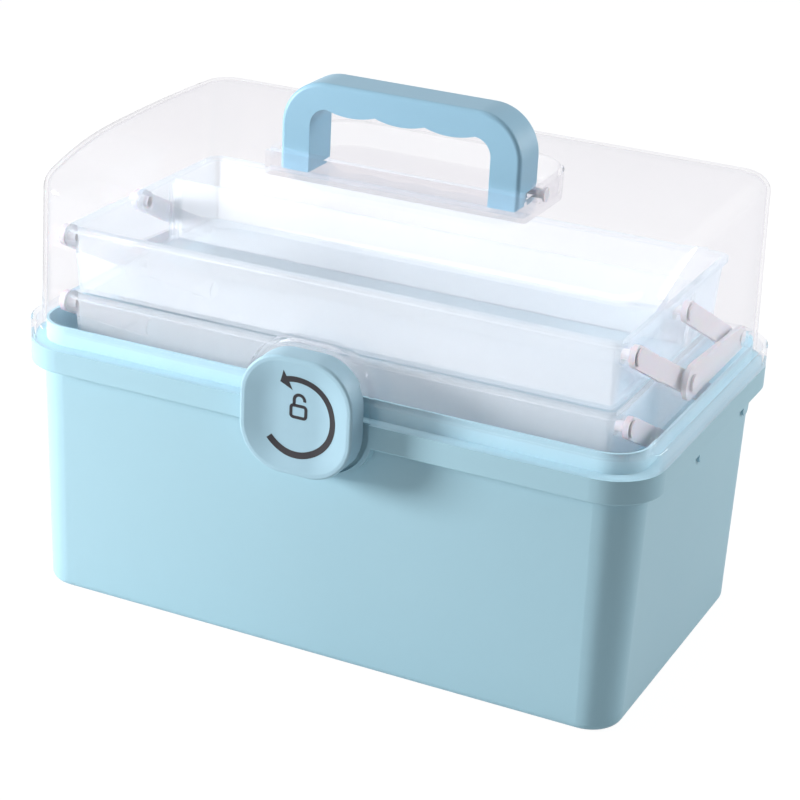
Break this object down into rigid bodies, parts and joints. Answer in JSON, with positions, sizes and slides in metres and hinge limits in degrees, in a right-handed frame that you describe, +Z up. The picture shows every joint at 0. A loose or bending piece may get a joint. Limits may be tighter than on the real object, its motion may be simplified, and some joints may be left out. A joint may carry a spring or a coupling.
{
  "type": "medicine box with handle",
  "caption": "Portable medicine box with a clear hinged lid, a folding bail handle, a rotary front latch and clear cantilever trays on folding arms.",
  "frame": {"origin": "middle of the tub's underside, on the surface it stands on", "axes": "+X along the front to the viewer's right, +Y towards the rear hinge, +Z up; the latch knob faces -Y"},
  "size_m": [0.33, 0.2164, 0.2625],
  "materials": {
    "blue_plastic": "gloss",
    "blue_handle": "satin",
    "blue_knob": "satin",
    "clear_lid": "clear gloss",
    "clear_tray": "clear gloss",
    "milky_plastic": "milky satin",
    "pin_steel": "brushed"
  },
  "bodies": {
    "base": {"base_tub": "blue_plastic", "base_pivot_pins": "blue_plastic", "hinge_pins": "pin_steel"},
    "lid": {"clear_lid": "clear_lid"},
    "bail": {"handle": "blue_handle", "handle_pins": "milky_plastic"},
    "long_arms": {"long_arm_left": "milky_plastic", "long_arm_right": "milky_plastic"},
    "middle_tray": {"middle_tray": "clear_tray", "middle_tray_pins": "milky_plastic", "link_pivot_pins": "milky_plastic", "link_collars": "milky_plastic"},
    "upper_tray": {"upper_tray": "clear_tray", "upper_tray_divider": "clear_tray", "upper_tray_pins": "milky_plastic"},
    "lower_arms": {"lower_arm_left": "milky_plastic", "lower_arm_right": "milky_plastic"},
    "upper_arms": {"upper_arm_left": "milky_plastic", "upper_arm_right": "milky_plastic"},
    "lid_links": {"lid_link_left": "milky_plastic", "lid_link_right": "milky_plastic", "lid_link_pins": "milky_plastic"},
    "latch": {"latch_knob": "blue_knob", "knob_washer": "pin_steel"}
  },
  "joints": [
    {"name": "lid_hinge", "type": "hinge", "parent": "base", "child": "lid", "pos_m": [0, 0.1014, 0.1322], "axis": [-1, 0, 0], "range_deg": [0, 100]},
    {"name": "handle_fold", "type": "hinge", "parent": "lid", "child": "bail", "pos_m": [0, 0.0032, 0.2224], "axis": [-1, 0, 0], "range_deg": [0, 84]},
    {"name": "long_arm_pivot", "type": "hinge", "parent": "base", "child": "long_arms", "pos_m": [0, 0.06677, 0.1114], "axis": [-1, 0, 0], "range_deg": [0, 54]},
    {"name": "lower_arm_pivot", "type": "hinge", "parent": "base", "child": "lower_arms", "pos_m": [0, 0.00076, 0.1114], "axis": [-1, 0, 0], "range_deg": [0, 54]},
    {"name": "middle_tray_pivot", "type": "hinge", "parent": "long_arms", "child": "middle_tray", "pos_m": [0, -0.007, 0.1494], "axis": [-1, 0, 0], "range_deg": [-54, 0]},
    {"name": "upper_tray_pivot", "type": "hinge", "parent": "long_arms", "child": "upper_tray", "pos_m": [0, -0.073, 0.1834], "axis": [-1, 0, 0], "range_deg": [-54, 0]},
    {"name": "upper_arm_pivot", "type": "hinge", "parent": "middle_tray", "child": "upper_arms", "pos_m": [0, 0.059, 0.1494], "axis": [-1, 0, 0], "range_deg": [0, 54]},
    {"name": "lid_link_pivot", "type": "hinge", "parent": "middle_tray", "child": "lid_links", "pos_m": [0, -0.007, 0.1494], "axis": [-1, 0, 0], "range_deg": [0, 19]},
    {"name": "knob_turn", "type": "hinge", "parent": "base", "child": "latch", "pos_m": [0, -0.104, 0.1339], "axis": [0, -1, 0], "range_deg": [0, 90]}
  ],
  "couplings": [
    {"joint": "long_arm_pivot", "follows": "lid_hinge", "ratio": 0.535},
    {"joint": "lower_arm_pivot", "follows": "lid_hinge", "ratio": 0.535},
    {"joint": "middle_tray_pivot", "follows": "lid_hinge", "ratio": -0.535},
    {"joint": "upper_tray_pivot", "follows": "lid_hinge", "ratio": -0.535},
    {"joint": "upper_arm_pivot", "follows": "lid_hinge", "ratio": 0.535},
    {"joint": "lid_link_pivot", "follows": "lid_hinge", "ratio": 0.1829}
  ]
}
